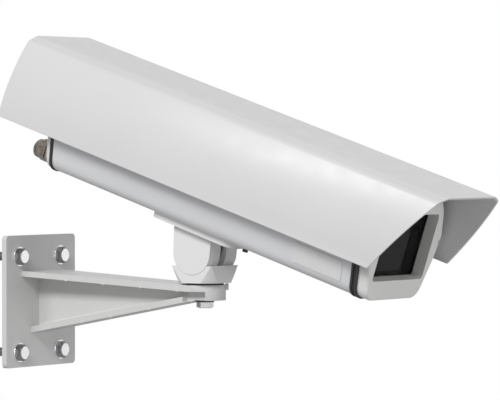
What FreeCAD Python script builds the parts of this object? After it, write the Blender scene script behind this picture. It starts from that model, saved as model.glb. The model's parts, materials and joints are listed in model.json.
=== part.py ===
import FreeCAD, Part
import math
import os
import re
import Sketcher
from FreeCAD import Rotation, Vector

# A wall-mounted security camera housing: a cast wall arm, a swivel head that pans and tilts,
# an extruded housing with two covers, and a sunshield over it.
# Frame: X points out from the wall along the arm, Z points up, and the origin is the centre
# of the wall plate's back. All lengths are in millimetres and all angles in degrees.

SIZES = {
    # Wall plate
    "plate_width": 102,
    "plate_height": 118.4,
    "plate_thick": 5,
    "plate_corner": 4,
    "bolts_across": 60,
    "bolts_up": 86,
    "bolts_aside": 2.7,
    "bolts_below": 2.7,
    "bolt_hole": 9,

    # Hexagon hardware, all of one thread size
    "thread": 8,
    "hex_flats": 13,
    "hex_height": 5.3,
    "washer_outer": 17.5,
    "washer_thick": 1.6,
    "pivot_washer_outer": 16.5,
    "hole_clearance": 0.4,
    "tapped_clearance": 0.1,
    "thread_behind": 18,
    "shank_width": 7.1,
    "shank_behind": 1,

    # Tapered arm with an upper flange, a lower flange and a web between them
    "pan_reach": 185,
    "upper_root_level": 27.25,
    "upper_root_half": 29,
    "upper_root_thick": 4.8,
    "upper_tip_thick": 5.8,
    "lower_root_level": -28.55,
    "lower_root_half": 15,
    "lower_root_thick": 5.4,
    "lower_tip_thick": 5.2,
    "web_thick": 6,
    "arm_fillet": 2.5,
    "boss_radius": 18.3,
    "flange_inside_boss": 0.5,
    "boss_bottom": 4.75,
    "boss_top": 18.25,
    "recess_past_axis": 10.5,
    "recess_before_axis": 13.6,
    "spot_face_margin": 2,
    "recess_core": 9,
    "pivot_bore": 8.2,
    "lug_angle": 34,
    "lug_proud": 2.4,
    "lug_root": 0.6,
    "lug_above_boss": 1,
    "lug_height": 5.6,
    "lug_half": 3,

    # Swivel head
    "pan_washer_outer": 33,
    "pan_washer_thick": 1.6,
    "running_gap": 0.1,
    "saddle_side": 42,
    "saddle_height": 15.2,
    "saddle_base_radius": 22.8,
    "saddle_cone_angle": 22.8,
    "axis_above_saddle": 11.4,
    "joint_clearance": 0.3,
    "knuckle_radius": 19.2,
    "knuckle_width": 42,
    "knuckle_wall": 5.5,
    "cheek_thick": 9,
    "rear_flare": 16,
    "front_flare": -12,
    "slot_width": 9,
    "slot_rear_angle": 20,
    "nut_width": 22,
    "nut_flat_drop": 5,
    "pivot_length": 45,
    "rest_pitch": 18.3,

    # Adapter plate between the knuckle and the housing
    "adapter_above_axis": 18.7,
    "adapter_length": 91,
    "adapter_back": 2,
    "adapter_width": 59,
    "adapter_thick": 5.8,
    "adapter_corner": 10,
    "tongue_neck": 10,
    "tongue_width": 18,
    "tongue_thick": 2.6,
    "tongue_clearance": 0.25,
    "lock_screw_place": 39.6,
    "lock_screw_size": 5,
    "lock_screw_proud": 4.4,
    "knuckle_screw_size": 5,
    "knuckle_screw_depth": 12,
    "knuckle_screw_length": 14,
    "knuckle_screw_place": 12,

    # Housing outline: half widths, and levels above the housing floor
    "floor_half": 41,
    "waist_half": 51.5,
    "waist_level": 35.5,
    "shoulder_half": 55,
    "shoulder_level": 56.5,
    "eave_half": 47.5,
    "eave_level": 79.5,
    "roof_half": 37,
    "roof_level": 93.5,
    "floor_round": 14,
    "waist_round": 20,
    "shoulder_round": 6,
    "eave_round": 20,
    "roof_round": 8,
    "body_wall": 2.5,
    "body_rear": -152.6,
    "body_front": 175.9,
    "port_proud": 0.83,
    "port_level": 50.5,
    "port_radius": 5,
    "port_bore": 4.1,

    # Covers, gaskets and window
    "front_gasket_thick": 7,
    "rear_gasket_thick": 3,
    "gasket_proud": 1,
    "gasket_groove": 1.1,
    "gasket_wall": 3,
    "cover_inset": 0.6,
    "front_cover_thick": 10.4,
    "rear_cover_thick": 6,
    "cover_edge_round": 2,
    "ear_thick": 4,
    "ear_radius": 5.4,
    "spigot_depth": 5,
    "spigot_clearance": 2.3,
    "spigot_wall": 1.5,
    "window_inside_waist": 11.5,
    "window_low": 18.2,
    "window_high": 76.5,
    "window_corner": 3,
    "window_recess": 10.5,
    "window_rim_wall": 2.4,
    "rim_setback": 1,
    "glass_lap": 2,
    "glass_thick": 4,
    "seal_thick": 1,
    "seal_show": 0.8,
    "frame_thick": 1.5,
    "frame_margin": 3.2,
    "post_top_half": 28,
    "post_low_half": 18,
    "post_beyond_glass": 4.4,
    "post_radius": 3.4,
    "frame_lobe": 7.8,
    "cover_wall": 3,
    "cover_side_wall": 4,
    "rear_cover_wall": 2,
    "tongue_low": 36,
    "tongue_high": 66,
    "cover_screw_size": 4,
    "cover_screw_head": 7.5,
    "cover_screw_head_height": 4,
    "cover_screw_length": 22,
    "cover_socket_flats": 3,
    "cover_socket_depth": 2.5,

    # Cable glands
    "gland_half": 30,
    "gland_level": 12.4,
    "gland_thread": 15.2,
    "gland_flats": 18,
    "gland_hex_thick": 4,
    "gland_neck": 14.5,
    "gland_neck_length": 1.5,
    "gland_bore": 10,
    "gland_nut_flats": 17,
    "gland_nut_hex": 8,
    "gland_nut_dome": 6.5,
    "gland_dome_round": 3.6,
    "gland_thread_depth": 10.9,
    "gland_mouth": 8,
    "gland_nut_mouth": 9,
    "gland_inside": 9,
    "locknut_flats": 17.2,
    "locknut_thick": 3,

    # Sunshield
    "shield_side_gap": 10.7,
    "shield_low": 33.2,
    "shield_knee_level": 37,
    "shield_bend_half": 49.5,
    "bevel_drop": 4.6,
    "bevel_width": 11,
    "shield_top_gap": 14.9,
    "shield_bend_radius": 7,
    "shield_wall": 2,
    "shield_behind_cover": 45.2,
    "visor_past_cover_low": 6.4,
    "visor_past_cover_high": 48.7,
    "rail_width": 22,
    "rail_drop": 7,
    "rail_lip": 2,
    "rail_slot": 6,
    "rail_rear_inset": 16.8,
    "rail_front_inset": 66,
    "shield_bolt_size": 5,
    "shield_bolt_flats": 8,
    "shield_bolt_head": 3.3,
    "shield_bolt_length": 16,
    "shield_bolt_rear_inset": 42.6,
    "shield_bolt_front_inset": 55.9,
    "spacer_outer": 14,

    # Camera sled and the boards inside
    "rib_inner": 23.5,
    "rib_outer": 31.5,
    "rib_level": 13,
    "sled_half": 33,
    "sled_thick": 1.5,
    "sled_lip": 5,
    "sled_rear_inset": 62.6,
    "sled_front_inset": 15.9,
    "sled_screw_inset": 10,
    "sled_slot_width": 6.5,
    "sled_slot_length": 60,
    "sled_slot_start": 25,
    "sled_slot_gap": 10,
    "sled_screw_size": 4,
    "sled_screw_head": 2.4,
    "sled_screw_length": 8,
    "heater_depth": 12,
    "heater_half": 34,
    "heater_inset": 6.4,
    "heater_post_height": 4.5,
    "board_length": 46,
    "board_half": 32,
    "board_thick": 1.6,
    "board_rear_inset": 9.6,
    "board_post_height": 8,
    "board_post_inset": 6,
    "small_screw_size": 3,
    "small_screw_head": 1.8,
    "frame_screw_length": 8,
    "pan_head_ratio": 1.9,
    "post_outer": 6,
    "terminal_length": 40,
    "terminal_width": 10,
    "terminal_height": 13,
    "terminal_way": 4,
    "terminal_way_depth": 3,

    # Bare plaque on the near side
    "plaque_length": 50,
    "plaque_height": 19,
    "plaque_thick": 0.6,
    "plaque_front_inset": 9.9,
    "plaque_above_corner": 9.5,
    "cut_overrun": 1,
}

# How near two lengths have to be to count as the same, how near two ends are to be tied,
# how far a run may be out of line, the least that a cut takes away, and the smallest round
TOUCH = 0.01
END_REACH = 0.0001
OUT_OF_LINE = 0.0001
LEAST_CUT = 0.01
LEAST_ROUND = 0.5

# The turn of a hexagon that stands a corner upright in its sketch
CORNER_UP = 30

# Counts of what repeats
TERMINAL_WAYS = 5
SLED_SLOTS = 3
GASKET_LAYERS = 3

doc = FreeCAD.newDocument("CameraHousing")
sheet = doc.addObject("Spreadsheet::Sheet", "Sizes")
for row, (alias, number) in enumerate(SIZES.items(), start=1):
    sheet.set("A%d" % row, alias.replace("_", " "))
    sheet.set("B%d" % row, str(number))
    sheet.setAlias("B%d" % row, alias)
doc.recompute()

# Heights that follow from the sizes
SADDLE_BASE = "(boss_top + pan_washer_thick + running_gap)"
TILT_LEVEL = "(boss_top + pan_washer_thick + running_gap + saddle_height + axis_above_saddle)"
FLOOR = "(adapter_above_axis + adapter_thick)"
COVER_REAR = "(body_front + front_gasket_thick)"
COVER_FACE = "(body_front + front_gasket_thick + front_cover_thick)"
REAR_COVER_FACE = "(body_rear - rear_gasket_thick - rear_cover_thick)"
GLASS_SEAT = "(%s - window_recess)" % COVER_FACE
GLASS_REAR = "(%s - seal_thick - glass_thick)" % GLASS_SEAT
ROOF = "(%s + roof_level)" % FLOOR

# The sunshield's outline and places along the housing, tied to the body and its covers
SHIELD_HALF = "(shoulder_half + shield_side_gap)"
SHIELD_TOP_LEVEL = "(roof_level + shield_top_gap)"
SHIELD_BEND_LEVEL = "(roof_level + shield_top_gap - bevel_drop)"
SHIELD_TOP_HALF = "(shield_bend_half - bevel_width)"
SHIELD_TOP = "(%s + %s)" % (FLOOR, SHIELD_TOP_LEVEL)
SHIELD_REAR = "(%s - shield_behind_cover)" % REAR_COVER_FACE
VISOR_LOW = "(%s + visor_past_cover_low)" % COVER_FACE
VISOR_HIGH = "(%s + visor_past_cover_high)" % COVER_FACE
RAIL_REAR = "(%s + rail_rear_inset)" % SHIELD_REAR
RAIL_FRONT = "(%s - rail_front_inset)" % VISOR_HIGH
SHIELD_BOLT_PLACES = ("body_rear + shield_bolt_rear_inset", "body_front - shield_bolt_front_inset")

# The window keeps its distance from the housing's side
WINDOW_HALF = "(waist_half - window_inside_waist)"

# The screw ports stand a little proud of the body's side
SIDE_SLOPE = "(shoulder_half - waist_half) / (shoulder_level - waist_level)"
PORT_HALF = "(waist_half + (port_level - waist_level) * %s + port_proud)" % SIDE_SLOPE

# Places along the housing for what it carries
SLED_REAR = "(body_rear + sled_rear_inset)"
SLED_FRONT = "(body_front - sled_front_inset)"
HEATER_CENTRE = "(body_front - heater_inset)"
BOARD_REAR = "(body_rear + board_rear_inset)"
PLAQUE_REAR = "(body_front - plaque_front_inset - plaque_length)"
ADAPTER_REAR = "(-adapter_length / 2 - adapter_back)"


def cells(text):
    """Turn a formula on size names into an expression on the sheet's cells."""
    return re.sub(r"[a-z]\w*", lambda word: sheet_cell(word.group()), str(text))


def sheet_cell(word):
    return "Sizes." + word if word in SIZES else word


def value(text):
    """The number that a formula on size names gives now."""
    return float(sheet.evalExpression(str(text)))


def place(obj, x="0", y="0", z="0", axis=None, angle="0"):
    """Place an object, bound to the sheet, turned about an axis through its own origin."""
    turn = Rotation(axis or Vector(0, 0, 1), value(angle))
    obj.Placement = FreeCAD.Placement(Vector(value(x), value(y), value(z)), turn)
    for letter, text in zip("xyz", (x, y, z)):
        obj.setExpression("Placement.Base." + letter, cells(text))
    if axis:
        obj.setExpression("Placement.Rotation.Angle", cells(angle))


def set_in_frame(obj, frame):
    """Set a finished piece in the wall frame, the pan frame or the tilting housing's frame."""
    if frame == "pan":
        place(obj, "pan_reach")
    if frame == "tilt":
        place(obj, "pan_reach", "0", TILT_LEVEL, Vector(0, 1, 0), "rest_pitch")


pieces = []


def piece(obj, label, frame):
    """Name a finished piece, which gives it a file of its own, and set it in its frame."""
    obj.Label = label
    set_in_frame(obj, frame)
    pieces.append(obj)
    return obj


def new_body(label, frame):
    return piece(doc.addObject("PartDesign::Body", label), label, frame)


def sketch_on(body, role, offset="0"):
    """A sketch on one of the body's own origin planes, moved along that plane's normal."""
    plane = [item for item in body.Origin.OriginFeatures if item.Role == role][0]
    sketch = body.newObject("Sketcher::SketchObject", "Sketch")
    sketch.AttachmentSupport = [(plane, "")]
    sketch.MapMode = "FlatFace"
    sketch.AttachmentOffset = FreeCAD.Placement(Vector(0, 0, value(offset)), Rotation())
    sketch.setExpression("AttachmentOffset.Base.z", cells(offset))
    return sketch


def bind(sketch, kind, *args):
    """Add a constraint whose last argument is a formula on the sizes."""
    number = sketch.addConstraint(Sketcher.Constraint(kind, *args[:-1], value(args[-1])))
    sketch.setExpression("Constraints[%d]" % number, cells(args[-1]))


def polygon(sketch, corners):
    """A closed polygon, each corner bound to the sheet."""
    first = sketch.GeometryCount
    points = [Vector(value(x), value(y), 0) for x, y in corners]
    count = len(points)
    for i in range(count):
        sketch.addGeometry(Part.LineSegment(points[i], points[(i + 1) % count]), False)
    for i in range(count):
        following = first + (i + 1) % count
        sketch.addConstraint(Sketcher.Constraint("Coincident", first + i, 2, following, 1))
    for i, (x, y) in enumerate(corners):
        bind(sketch, "DistanceX", -1, 1, first + i, 1, x)
        bind(sketch, "DistanceY", -1, 1, first + i, 1, y)


def rectangle(sketch, x_low, x_high, y_low, y_high):
    polygon(sketch, [(x_low, y_low), (x_high, y_low), (x_high, y_high), (x_low, y_high)])


def circle(sketch, x, y, diameter):
    centre = Vector(value(x), value(y), 0)
    number = sketch.addGeometry(Part.Circle(centre, Vector(0, 0, 1), value(diameter) / 2), False)
    bind(sketch, "DistanceX", -1, 1, number, 3, x)
    bind(sketch, "DistanceY", -1, 1, number, 3, y)
    bind(sketch, "Diameter", number, diameter)


def hexagon(sketch, x, y, flats, turn=0.0):
    """A hexagon of the given width across its flats."""
    radius = "%s / 2 / cos(30)" % flats
    corners = []
    for i in range(6):
        angle = turn + 60 * i
        corners.append(("%s + %s * cos(%g)" % (x, radius, angle), "%s + %s * sin(%g)" % (y, radius, angle)))
    polygon(sketch, corners)


def unit(vector):
    return vector / vector.Length


def corner_arc(before, corner, after, radius):
    """The two tangent points and the middle of a round at a corner."""
    back = unit(before - corner)
    ahead = unit(after - corner)
    half = back.getAngle(ahead) / 2
    reach = radius / math.tan(half)
    centre = corner + unit(back + ahead) * (radius / math.sin(half))
    middle = centre + unit(corner - centre) * radius
    return corner + back * reach, middle, corner + ahead * reach


def rounded(sketch, corners, radii):
    """A closed outline of straight runs and tangent arcs, worked out from its corners."""
    count = len(corners)
    points = [Vector(x, y, 0) for x, y in corners]
    ends = []
    for i, point in enumerate(points):
        ends.append(corner_arc(points[i - 1], point, points[(i + 1) % count], radii[i]))
    for i in range(count):
        start, middle, finish = ends[i]
        sketch.addGeometry(Part.Arc(start, middle, finish), False)
        sketch.addGeometry(Part.LineSegment(finish, ends[(i + 1) % count][0]), False)
    join_ends(sketch)


def closed_run(sketch, points):
    """A closed polygon through points that the code works out."""
    for number, point in enumerate(points):
        sketch.addGeometry(Part.LineSegment(point, points[(number + 1) % len(points)]), False)
    join_ends(sketch)


def join_ends(sketch):
    """Tie every pair of curve ends that meet."""
    sketch.detectMissingPointOnPointConstraints(END_REACH)
    sketch.makeMissingPointOnPointCoincident()


def add_feature(body, kind, sketch, length=None, symmetric=False, reverse=False):
    feature = body.newObject("PartDesign::" + kind, kind)
    feature.Profile = sketch
    feature.Reversed = reverse
    if symmetric:
        feature.SideType = "Symmetric"
    if length is None:
        feature.Type = "ThroughAll"
    else:
        feature.Length = value(length)
        feature.setExpression("Length", cells(length))
    return feature


def pad(body, sketch, length, symmetric=False, reverse=False):
    return add_feature(body, "Pad", sketch, length, symmetric, reverse)


def pocket(body, sketch, length=None, symmetric=False, reverse=False):
    """Cut the sketch out of the body, and make sure that the cut takes material away."""
    doc.recompute()
    before = body.Shape.Volume
    feature = add_feature(body, "Pocket", sketch, length, symmetric, reverse)
    doc.recompute()
    if body.Shape.Volume > before - LEAST_CUT:
        raise RuntimeError("a cut in %s takes nothing away" % body.Label)
    return feature


def find_edges(body, test):
    """The names of the edges of the body's tip that pass a test."""
    doc.recompute()
    names = []
    for number, edge in enumerate(body.Tip.Shape.Edges, start=1):
        if test(edge):
            names.append("Edge%d" % number)
    if not names:
        raise RuntimeError("no edge to dress in %s" % body.Label)
    return names


def dress(body, kind, names, radius):
    """Round or chamfer the named edges."""
    base = body.Tip
    feature = body.newObject("PartDesign::" + kind, kind)
    feature.Base = (base, names)
    prop = "Radius" if kind == "Fillet" else "Size"
    setattr(feature, prop, value(radius))
    feature.setExpression(prop, cells(radius))
    return feature


def runs_along(edge, direction):
    """Whether an edge is straight and parallel to a direction."""
    if edge.Curve.TypeId != "Part::GeomLine":
        return False
    run = edge.Vertexes[-1].Point - edge.Vertexes[0].Point
    return unit(run).cross(direction).Length < OUT_OF_LINE


# Housing outline


def offset_corners(corners, inset):
    """Move each side of a closed outline inwards by the inset, square to itself."""
    count = len(corners)
    moved = []
    for i, (x, y) in enumerate(corners):
        before = side_normal(corners[i - 1], corners[i])
        after = side_normal(corners[i], corners[(i + 1) % count])
        share = inset / (1 + before[0] * after[0] + before[1] * after[1])
        moved.append((x + share * (before[0] + after[0]), y + share * (before[1] + after[1])))
    return moved


def side_normal(start, end):
    """The normal to the left of a side, which points inwards on an outline drawn anticlockwise."""
    run = math.hypot(end[0] - start[0], end[1] - start[1])
    return (start[1] - end[1]) / run, (end[0] - start[0]) / run


def housing_corners(inset):
    """The corners of the housing's section and their rounds, offset inwards."""
    names = ("floor", "waist", "shoulder", "eave", "roof")
    base = value(FLOOR)
    half = [value(name + "_half") for name in names]
    level = [base] + [base + value(name + "_level") for name in names[1:]]
    rounds = [value(name + "_round") for name in names]
    right = list(zip(half, level))
    left = [(-y, z) for y, z in reversed(right)]
    return offset_corners(right + left, inset), [turn - inset for turn in rounds + rounds[::-1]]


def housing_outline(sketch, inset):
    corners, radii = housing_corners(inset)
    rounded(sketch, corners, [max(radius, LEAST_ROUND) for radius in radii])


def window_outline(sketch, margin):
    """The window opening, or a piece that laps it by a margin all round."""
    half = value(WINDOW_HALF) + margin
    low = value(FLOOR) + value("window_low") - margin
    high = value(FLOOR) + value("window_high") + margin
    turn = value("window_corner") + margin
    rounded(sketch, [(-half, low), (half, low), (half, high), (-half, high)], [turn] * 4)


# Wall bracket: one casting


def make_wall_bracket():
    body = new_body("wall_bracket", "wall")
    plate = sketch_on(body, "YZ_Plane")
    rectangle(plate, "-plate_width / 2", "plate_width / 2", "-plate_height / 2", "plate_height / 2")
    pad(body, plate, "plate_thick")
    along = find_edges(body, lambda edge: runs_along(edge, Vector(1, 0, 0)))
    dress(body, "Fillet", along, "plate_corner")
    upper_tip = "boss_top - flange_inside_boss"
    add_flange(body, ("upper_root_half", "upper_root_level", "upper_root_thick"),
               ("(boss_radius - flange_inside_boss)", upper_tip, "upper_tip_thick"))
    lower_root = "lower_root_level + lower_root_thick"
    lower_tip = "boss_bottom + lower_tip_thick + flange_inside_boss"
    add_flange(body, ("lower_root_half", lower_root, "lower_root_thick"),
               ("lower_root_half", lower_tip, "lower_tip_thick"))
    add_web(body)
    add_boss(body)
    round_arm(body)
    drill_plate(body)


def add_flange(body, at_plate, at_boss):
    """A flange from the plate to the boss, given by its half width, top and thickness at each end."""
    ends = []
    for reach, (half, top, thick) in (("plate_thick", at_plate), ("pan_reach", at_boss)):
        end = sketch_on(body, "YZ_Plane", reach)
        rectangle(end, "-" + half, half, "%s - %s" % (top, thick), top)
        ends.append(end)
    doc.recompute()
    loft = body.newObject("PartDesign::AdditiveLoft", "Flange")
    loft.Profile = ends[0]
    loft.Sections = [ends[1]]
    loft.Ruled = True


def add_web(body):
    web = sketch_on(body, "XZ_Plane")
    polygon(web, [
        ("plate_thick", "lower_root_level + lower_root_thick / 2"),
        ("pan_reach", "boss_bottom + lower_tip_thick / 2"),
        ("pan_reach", "boss_top - upper_tip_thick / 2"),
        ("plate_thick", "upper_root_level - upper_root_thick / 2"),
    ])
    pad(body, web, "web_thick", symmetric=True)


def add_boss(body):
    """The round boss that the head turns on, hollowed from below at its sides, with a stop lug."""
    disc = sketch_on(body, "XY_Plane", "boss_bottom")
    circle(disc, "pan_reach", "0", "boss_radius * 2")
    pad(body, disc, "boss_top - boss_bottom")
    for side in ("", "-"):
        hollow = sketch_on(body, "XZ_Plane", side + "recess_core")
        rectangle(hollow, "pan_reach - recess_before_axis", "pan_reach + recess_past_axis",
                  "boss_bottom - cut_overrun", "boss_top - upper_tip_thick")
        pocket(body, hollow, "boss_radius", reverse=(side == ""))
    spot_face(body, "boss_top", "boss_radius + cut_overrun", True)
    spot_face(body, "boss_bottom", "pivot_washer_outer / 2 + spot_face_margin", False)
    bore = sketch_on(body, "XY_Plane", "boss_top")
    circle(bore, "pan_reach", "0", "pivot_bore")
    pocket(body, bore)
    lug = sketch_on(body, "XY_Plane", "boss_top - lug_height + lug_above_boss")
    corners = []
    for reach, side in (("boss_radius - lug_root", "-"), ("boss_radius + lug_proud", "-"),
                        ("boss_radius + lug_proud", "+"), ("boss_radius - lug_root", "+")):
        flip = "-" if side == "+" else "+"
        corners.append((
            "pan_reach + (%s) * cos(lug_angle) %s lug_half * sin(lug_angle)" % (reach, flip),
            "(%s) * sin(lug_angle) %s lug_half * cos(lug_angle)" % (reach, side),
        ))
    polygon(lug, corners)
    pad(body, lug, "lug_height")


def spot_face(body, level, radius, upward):
    """A flat seat milled round the pivot, where the sloping flanges rise past the boss."""
    seat = sketch_on(body, "XY_Plane", level)
    circle(seat, "pan_reach", "0", "(%s) * 2" % radius)
    pocket(body, seat, "upper_tip_thick", reverse=upward)


def round_arm(body):
    """Cast rounds where the web meets the flanges."""
    half = value("web_thick") / 2
    reach = value("pan_reach") / 2

    def meets_web(edge):
        box = edge.BoundBox
        return box.XLength > reach and abs(abs(box.YMin) - half) < TOUCH and box.YLength < TOUCH

    dress(body, "Fillet", find_edges(body, meets_web), "arm_fillet")


def drill_plate(body):
    holes = sketch_on(body, "YZ_Plane", "plate_thick")
    for across, up in bolt_places():
        circle(holes, across, up, "bolt_hole")
    pocket(body, holes)


def bolt_places():
    across = [side + "bolts_across / 2 - bolts_aside" for side in ("", "-")]
    up = [side + "bolts_up / 2 - bolts_below" for side in ("", "-")]
    return [(a, b) for a in across for b in up]


# Fasteners, each kind drawn as a group


def new_group(label, frame):
    """A body that may hold several loose solids of one kind."""
    body = new_body(label, frame)
    body.AllowCompound = True
    return body


def make_wall_bolts():
    body = new_group("wall_bolts", "wall")
    heads = sketch_on(body, "YZ_Plane", "plate_thick + washer_thick")
    for across, up in bolt_places():
        hexagon(heads, across, up, "hex_flats")
    pad(body, heads, "hex_height")
    shanks = sketch_on(body, "YZ_Plane", "plate_thick + washer_thick")
    for across, up in bolt_places():
        circle(shanks, across, up, "shank_width")
    pad(body, shanks, "plate_thick + washer_thick + shank_behind", reverse=True)
    threads = sketch_on(body, "YZ_Plane", "-shank_behind")
    for across, up in bolt_places():
        circle(threads, across, up, "thread")
    pad(body, threads, "thread_behind - shank_behind", reverse=True)


def make_wall_washers():
    body = new_group("wall_washers", "wall")
    rings = sketch_on(body, "YZ_Plane", "plate_thick")
    for across, up in bolt_places():
        circle(rings, across, up, "washer_outer")
        circle(rings, across, up, "thread + hole_clearance")
    pad(body, rings, "washer_thick")


# Swivel head: a saddle that pans on the boss, and a knuckle that tilts in the saddle


def make_ring(label, frame, low, high, outer, inner):
    """A flat ring about the vertical axis."""
    body = new_body(label, frame)
    ring = sketch_on(body, "XY_Plane", low)
    circle(ring, "0", "0", outer)
    circle(ring, "0", "0", inner)
    pad(body, ring, "(%s) - (%s)" % (high, low))


def make_pivot():
    """The bolt that locks both movements, and the washers above and below the boss."""
    under = "(boss_bottom - running_gap - washer_thick)"
    make_ring("pivot_washer", "pan", under, "boss_bottom - running_gap", "pivot_washer_outer",
              "thread + hole_clearance")
    make_ring("pan_washer", "pan", "boss_top + running_gap", SADDLE_BASE, "pan_washer_outer",
              "thread + hole_clearance")
    body = new_body("pivot_bolt", "pan")
    head = sketch_on(body, "XY_Plane", under)
    hexagon(head, "0", "0", "hex_flats")
    pad(body, head, "hex_height", reverse=True)
    shank = sketch_on(body, "XY_Plane", under)
    circle(shank, "0", "0", "thread")
    pad(body, shank, "pivot_length")


def make_pan_saddle():
    """A square block turned to a cone at its corners, with a round cradle for the knuckle."""
    body = new_body("pan_saddle", "pan")
    block = sketch_on(body, "XY_Plane", SADDLE_BASE)
    rectangle(block, "-saddle_side / 2", "saddle_side / 2", "-saddle_side / 2", "saddle_side / 2")
    pad(body, block, "saddle_height")
    trim = sketch_on(body, "XZ_Plane")
    top = SADDLE_BASE + " + saddle_height + cut_overrun"
    polygon(trim, [
        ("saddle_base_radius", SADDLE_BASE),
        ("saddle_side", SADDLE_BASE),
        ("saddle_side", top),
        ("saddle_base_radius + (saddle_height + cut_overrun) * tan(saddle_cone_angle)", top),
    ])
    doc.recompute()
    cone = body.newObject("PartDesign::Groove", "Cone")
    cone.Profile = trim
    cone.ReferenceAxis = (trim, ["V_Axis"])
    cone.Angle = 360
    cradle = sketch_on(body, "XZ_Plane")
    circle(cradle, "0", TILT_LEVEL, "(knuckle_radius + joint_clearance) * 2")
    pocket(body, cradle, "saddle_side + cut_overrun * 2", symmetric=True)
    bore = sketch_on(body, "XY_Plane", SADDLE_BASE)
    circle(bore, "0", "0", "thread + tapped_clearance")
    pocket(body, bore, "saddle_height", reverse=True)


def make_clamp_nut():
    """A half-round nut that rolls inside the knuckle and pulls it down into the saddle."""
    body = new_body("clamp_nut", "pan")
    round_bar = sketch_on(body, "XZ_Plane")
    circle(round_bar, "0", TILT_LEVEL, "(knuckle_radius - knuckle_wall - joint_clearance) * 2")
    pad(body, round_bar, "nut_width", symmetric=True)
    flat = sketch_on(body, "XY_Plane", TILT_LEVEL + " - nut_flat_drop")
    rectangle(flat, "-knuckle_radius", "knuckle_radius", "-knuckle_width", "knuckle_width")
    pocket(body, flat, "knuckle_radius * 2", reverse=True)
    tapping = sketch_on(body, "XY_Plane", TILT_LEVEL)
    circle(tapping, "0", "0", "thread + tapped_clearance")
    pocket(body, tapping, "knuckle_radius")


def make_tilt_knuckle():
    """The tilting half: two cheeks with a round underside, hollow and slotted for the bolt."""
    body = new_body("tilt_knuckle", "tilt")
    profile = sketch_on(body, "XZ_Plane")
    knuckle_profile(profile)
    pad(body, profile, "knuckle_width", symmetric=True)
    inside = "knuckle_width - cheek_thick * 2"
    hollow_radius = "(knuckle_radius - knuckle_wall)"
    barrel = sketch_on(body, "XZ_Plane")
    circle(barrel, "0", "0", hollow_radius + " * 2")
    pocket(body, barrel, inside, symmetric=True)
    throat = sketch_on(body, "XZ_Plane")
    rectangle(throat, "-" + hollow_radius, hollow_radius, "0", "adapter_above_axis")
    pocket(body, throat, inside, symmetric=True)
    slot = sketch_on(body, "XZ_Plane")
    reach = "knuckle_radius * 2"
    polygon(slot, [
        ("0", "0"),
        ("-%s * sin(slot_rear_angle)" % reach, "-%s * cos(slot_rear_angle)" % reach),
        (reach, "-%s * cos(slot_rear_angle)" % reach),
        (reach, "adapter_above_axis"),
        ("0", "adapter_above_axis"),
    ])
    pocket(body, slot, "slot_width", symmetric=True)
    holes = sketch_on(body, "XY_Plane", "adapter_above_axis")
    for along, across in knuckle_screw_places():
        circle(holes, along, across, "knuckle_screw_size + tapped_clearance")
    pocket(body, holes, "knuckle_screw_depth")


def knuckle_profile(sketch):
    """A round underside with a straight flank tangent to it at each side."""
    radius = value("knuckle_radius")
    top = value("adapter_above_axis")
    rear = math.radians(value("rear_flare"))
    front = math.radians(value("front_flare"))
    rear_foot = Vector(-radius * math.cos(rear), -radius * math.sin(rear), 0)
    front_foot = Vector(radius * math.cos(front), -radius * math.sin(front), 0)
    rear_top = Vector(rear_foot.x - (top - rear_foot.y) * math.tan(rear), top, 0)
    front_top = Vector(front_foot.x + (top - front_foot.y) * math.tan(front), top, 0)
    sketch.addGeometry(Part.Arc(rear_foot, Vector(0, -radius, 0), front_foot), False)
    sketch.addGeometry(Part.LineSegment(front_foot, front_top), False)
    sketch.addGeometry(Part.LineSegment(front_top, rear_top), False)
    sketch.addGeometry(Part.LineSegment(rear_top, rear_foot), False)
    join_ends(sketch)


def knuckle_screw_places():
    across = "(knuckle_width - cheek_thick) / 2"
    return [(a + "knuckle_screw_place", b + across) for a in ("", "-") for b in ("", "-")]


def make_adapter_plate():
    """The plate under the housing, with a tongue that slides in the housing's slot."""
    body = new_body("adapter_plate", "tilt")
    plate = sketch_on(body, "XY_Plane", "adapter_above_axis")
    ahead = ADAPTER_REAR + " + adapter_length"
    rectangle(plate, ADAPTER_REAR, ahead, "-adapter_width / 2", "adapter_width / 2")
    pad(body, plate, "adapter_thick")
    upright = find_edges(body, lambda edge: runs_along(edge, Vector(0, 0, 1)))
    dress(body, "Fillet", upright, "adapter_corner")
    tongue = sketch_on(body, "YZ_Plane", ADAPTER_REAR)
    neck_top = FLOOR + " + body_wall + tongue_clearance"
    rectangle(tongue, "-tongue_neck / 2", "tongue_neck / 2", FLOOR, neck_top)
    pad(body, tongue, "adapter_length")
    bar = sketch_on(body, "YZ_Plane", ADAPTER_REAR)
    rectangle(bar, "-tongue_width / 2", "tongue_width / 2", neck_top, neck_top + " + tongue_thick")
    pad(body, bar, "adapter_length")
    drill_adapter(body)


def drill_adapter(body):
    lock = sketch_on(body, "XY_Plane", "adapter_above_axis")
    for side in ("", "-"):
        circle(lock, side + "lock_screw_place", "0", "lock_screw_size + tapped_clearance")
    pocket(body, lock, reverse=True)
    clear = sketch_on(body, "XY_Plane", "adapter_above_axis")
    for along, across in knuckle_screw_places():
        circle(clear, along, across, "knuckle_screw_size + hole_clearance")
    pocket(body, clear, "adapter_thick", reverse=True)
    sink = sketch_on(body, "XY_Plane", FLOOR)
    for along, across in knuckle_screw_places():
        circle(sink, along, across, "knuckle_screw_size * 2 + hole_clearance")
    pocket(body, sink, "knuckle_screw_size / 2 + hole_clearance / 2")


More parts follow.
